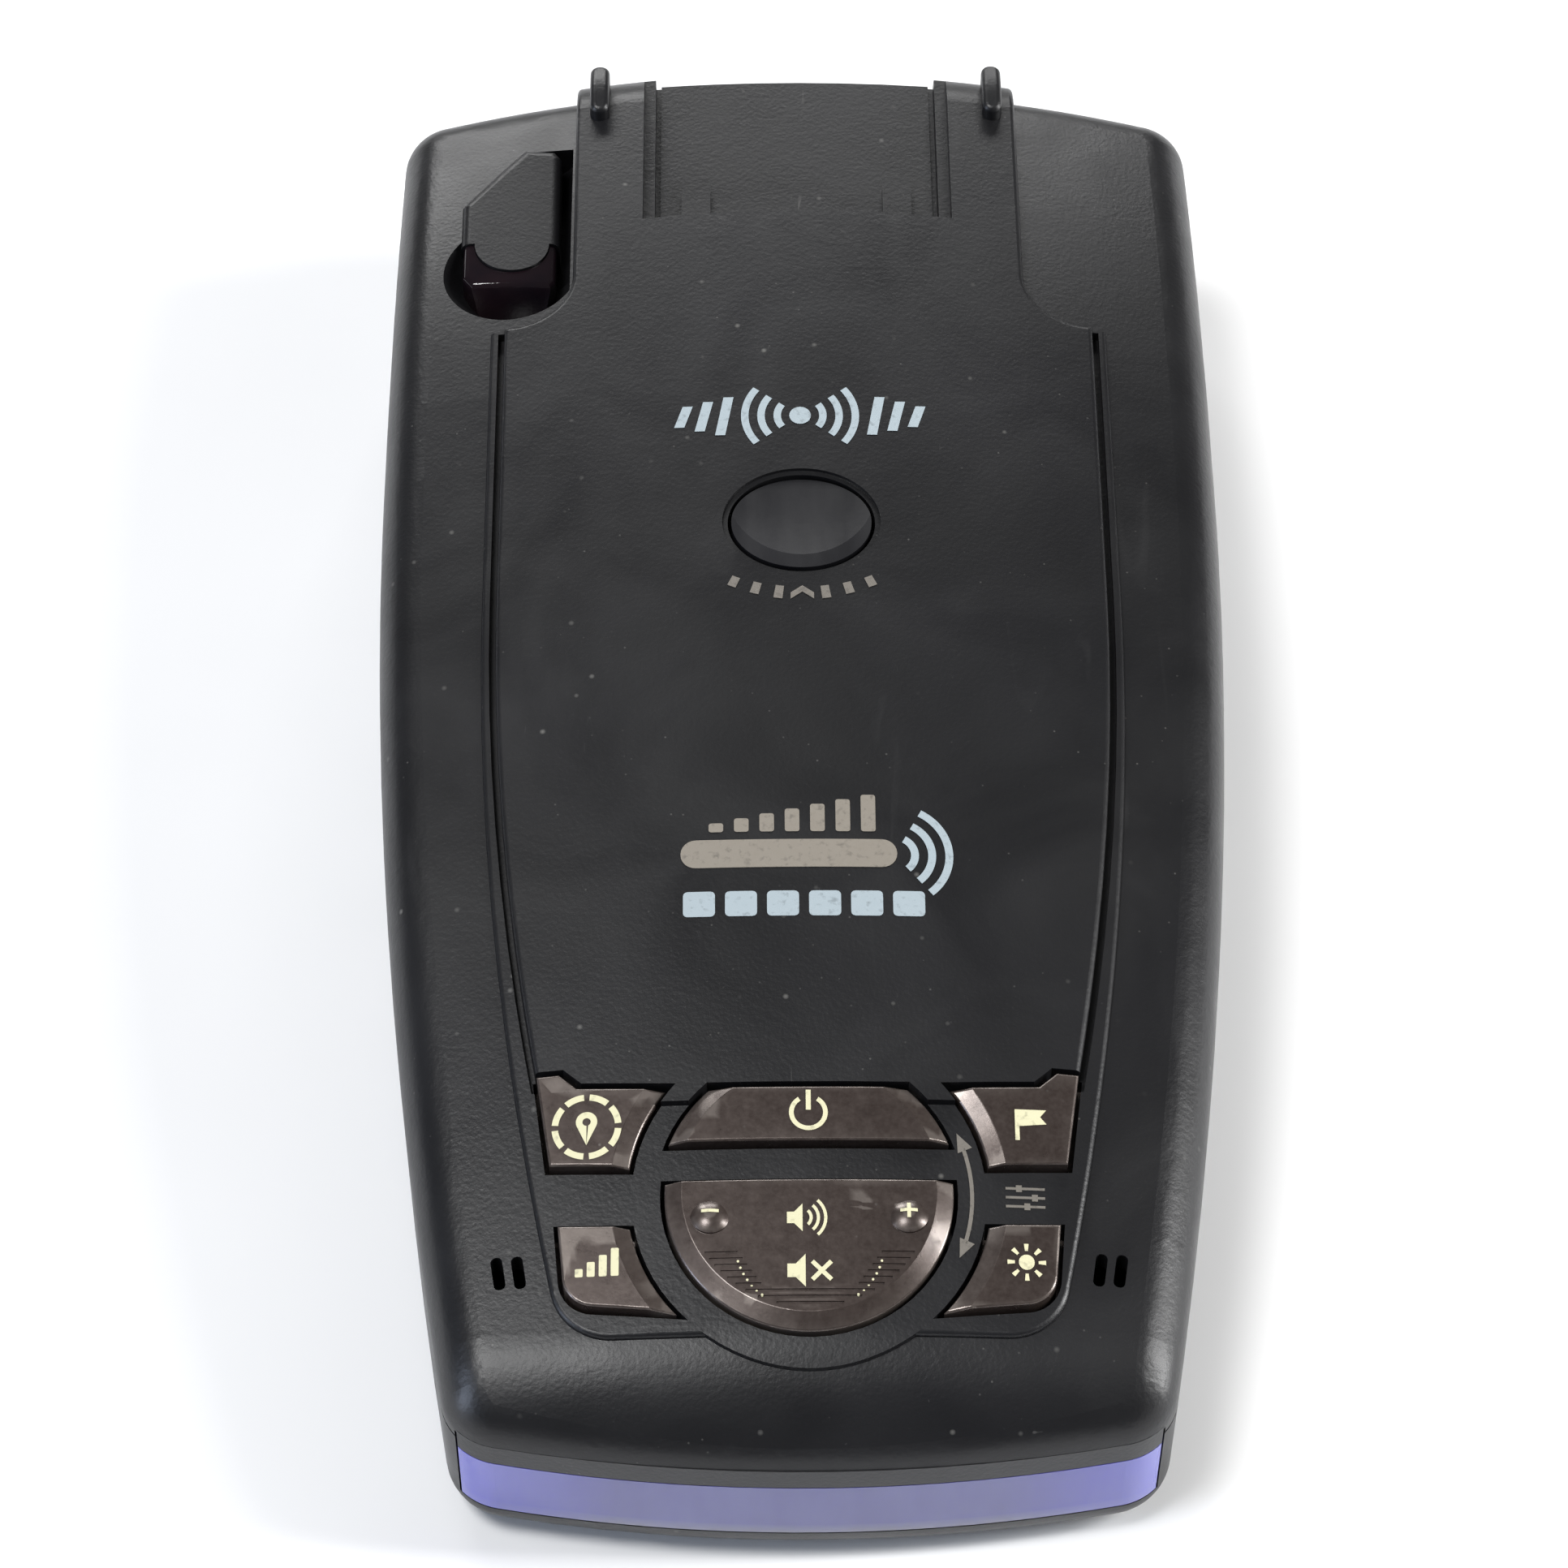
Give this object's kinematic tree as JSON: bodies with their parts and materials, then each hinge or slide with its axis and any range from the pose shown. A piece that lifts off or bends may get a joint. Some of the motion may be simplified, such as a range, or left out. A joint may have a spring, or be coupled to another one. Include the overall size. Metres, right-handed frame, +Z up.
{
  "type": "radar detector",
  "caption": "Windscreen radar detector with a curved display window, a half-disc volume and mute rocker, corner keys, and a rear channel for its mounting bracket.",
  "frame": {"origin": "middle of the bounding box bottom, on the flat underside", "axes": "+Z up out of the keys; -Y towards the driver, where the display is; +Y towards the road; +X to the right seen from the driver"},
  "size_m": [0.0698, 0.1334, 0.0318],
  "materials": {
    "case_plastic": "fine-grained moulded black plastic",
    "tinted_lens": "violet-blue tinted clear plastic",
    "smooth_black": "smooth black plastic",
    "smoked_lens": "polished infrared-passing black plastic",
    "key_bronze": "satin bronze-grey painted plastic",
    "bright_steel": "plain steel",
    "inner_plastic": "plain black plastic",
    "silicone": "grey silicone",
    "board_green": "green solder mask",
    "display_face": "dark display glass",
    "cast_metal": "die-cast, as cast",
    "tinned_steel": "tin plated",
    "ceramic": "ceramic with a silvered patch",
    "speaker_metal": "black lacquered steel",
    "foam_black": "closed-cell foam",
    "black_screw": "black zinc",
    "label_film": "silver polyester film, blank"
  },
  "bodies": {
    "housing": {"top_case": "case_plastic", "bottom_case": "case_plastic", "display_window": "tinted_lens", "antenna_cover": "smooth_black", "front_laser_lens": "smoked_lens", "rear_laser_lens": "smoked_lens", "rocker_bracket": "bright_steel", "latch_pin": "bright_steel", "release_spring": "bright_steel", "keypad_mat": "silicone", "key_switches": "inner_plastic", "main_board": "board_green", "display_board": "board_green", "display_module": "display_face", "board_header": "inner_plastic", "horn_antenna": "cast_metal", "rf_shield": "tinned_steel", "gps_antenna": "ceramic", "speaker": "speaker_metal", "speaker_gasket": "foam_black", "power_jack": "inner_plastic", "earphone_jack": "inner_plastic", "usb_jack": "tinned_steel", "front_laser_sensor": "board_green", "rear_laser_sensor": "board_green", "case_screws": "black_screw", "board_screws": "bright_steel", "rating_label": "label_film"},
    "power_button": {"power_button": "key_bronze"},
    "gps_button": {"gps_button": "key_bronze"},
    "mark_button": {"mark_button": "key_bronze"},
    "sensitivity_button": {"sensitivity_button": "key_bronze"},
    "brightness_button": {"brightness_button": "key_bronze"},
    "volume_mute_key": {"volume_mute_key": "key_bronze"},
    "rocker_pivot": {"rocker_pivot": "bright_steel"},
    "release_button": {"release_button": "smooth_black"},
    "release_latch": {"release_latch": "inner_plastic"}
  },
  "joints": [
    {"name": "power_button_press", "type": "slide", "parent": "housing", "child": "power_button", "axis": [0, 0, -1], "range_m": [0, 0.0008], "stiffness_N_per_m": 900, "springref_m": -0.0006},
    {"name": "gps_button_press", "type": "slide", "parent": "housing", "child": "gps_button", "axis": [0, 0, -1], "range_m": [0, 0.0008], "stiffness_N_per_m": 900, "springref_m": -0.0006},
    {"name": "mark_button_press", "type": "slide", "parent": "housing", "child": "mark_button", "axis": [0, 0, -1], "range_m": [0, 0.0008], "stiffness_N_per_m": 900, "springref_m": -0.0006},
    {"name": "sensitivity_button_press", "type": "slide", "parent": "housing", "child": "sensitivity_button", "axis": [0, 0, -1], "range_m": [0, 0.0008], "stiffness_N_per_m": 900, "springref_m": -0.0006},
    {"name": "brightness_button_press", "type": "slide", "parent": "housing", "child": "brightness_button", "axis": [0, 0, -1], "range_m": [0, 0.0008], "stiffness_N_per_m": 900, "springref_m": -0.0006},
    {"name": "rocker_tilt", "type": "hinge", "parent": "housing", "child": "rocker_pivot", "pos_m": [0, -0.05078, 0.01643], "axis": [1, 0, 0], "range_deg": [0, 3], "stiffness_Nm_per_rad": 0.15, "springref_deg": -1.72},
    {"name": "volume_rock", "type": "hinge", "parent": "rocker_pivot", "child": "volume_mute_key", "pos_m": [0, -0.05078, 0.01643], "axis": [0, 1, 0], "range_deg": [-2.5, 2.5], "stiffness_Nm_per_rad": 0.15},
    {"name": "release_press", "type": "slide", "parent": "housing", "child": "release_button", "axis": [0, 0, -1], "range_m": [0, 0.0012], "stiffness_N_per_m": 900, "springref_m": -0.001, "deforming": ["release_spring"]},
    {"name": "latch_swing", "type": "hinge", "parent": "housing", "child": "release_latch", "pos_m": [0, 0.002, 0.0216], "axis": [1, 0, 0], "range_deg": [-6.43, 0]}
  ],
  "couplings": [
    {"joint": "latch_swing", "follows": "release_press", "rad_per_m": -93.458}
  ]
}
